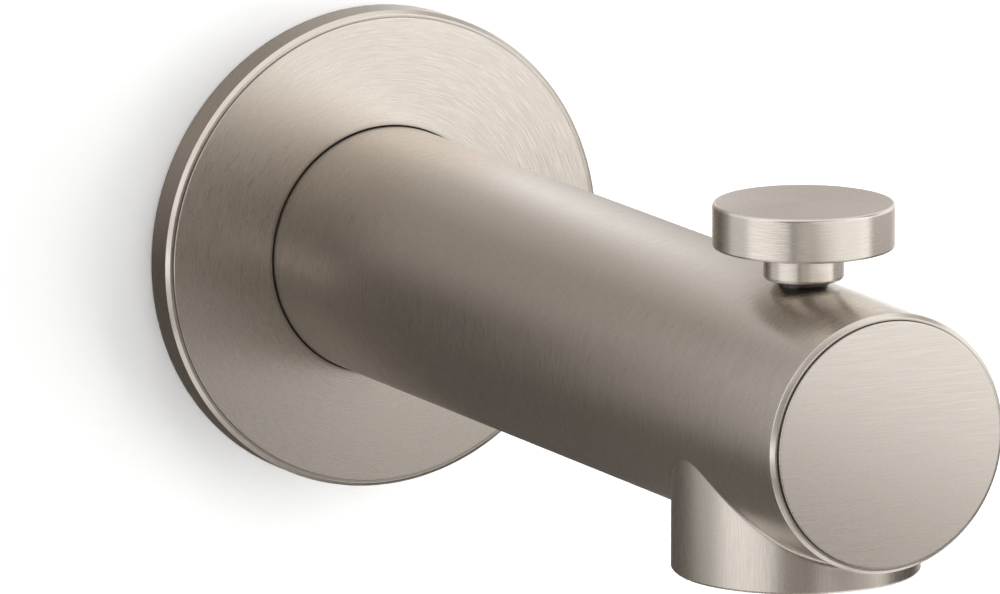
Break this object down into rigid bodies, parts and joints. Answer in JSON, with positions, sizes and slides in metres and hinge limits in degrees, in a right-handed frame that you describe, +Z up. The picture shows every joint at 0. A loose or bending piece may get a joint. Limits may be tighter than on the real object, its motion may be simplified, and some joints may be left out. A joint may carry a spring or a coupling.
{
  "type": "bath spout",
  "caption": "Round wall-mounted bath spout with a wall flange, a tubular body, a round downward outlet and a lift knob on top that works a sliding diverter gate.",
  "frame": {"origin": "centre of the supply bore's mouth, in the plane of the finished wall", "axes": "+Y along the supply bore into the wall, so the spout reaches out towards -Y; +Z up; +X to the right for someone facing the wall"},
  "size_m": [0.0852, 0.1898, 0.0852],
  "materials": {
    "tube_nickel": "brushed nickel plating on cast brass, brushed round the tube",
    "cap_nickel": "brushed nickel plating on brass, brushed straight across",
    "flange_nickel": "brushed nickel plating on brass, brushed in circles",
    "knob_nickel": "brushed nickel plating on turned brass",
    "ring_nickel": "satin nickel plating on turned brass",
    "cast_brass": "as cast and machined",
    "copper": "drawn copper",
    "stainless_steel": "turned stainless steel",
    "black_rubber": "matt black rubber",
    "grey_foam": "closed-cell foam",
    "gate_plastic": "moulded acetal",
    "black_plastic": "turned black acetal",
    "grille_plastic": "moulded grey plastic"
  },
  "bodies": {
    "spout": {"spout_body": "tube_nickel", "end_cap": "cap_nickel", "wall_flange": "flange_nickel", "flange_seal": "black_rubber", "wall_gasket": "grey_foam", "inlet_adapter": "cast_brass", "inlet_seal": "black_rubber", "set_screw": "stainless_steel", "waterway_tube": "copper", "diverter_housing": "cast_brass", "port_gasket": "black_rubber", "port_plate": "cast_brass", "plate_screws": "stainless_steel", "rod_bushing": "black_plastic", "rod_seal": "black_rubber", "outlet_ring": "ring_nickel", "outlet_washer": "black_rubber", "stream_grille": "grille_plastic"},
    "diverter": {"lift_knob": "knob_nickel", "lift_rod": "stainless_steel", "diverter_gate": "gate_plastic", "gate_seal": "black_rubber"}
  },
  "joints": [
    {"name": "diverter_lift", "type": "slide", "parent": "spout", "child": "diverter", "axis": [0, 0, 1], "range_m": [0, 0.0105]}
  ]
}
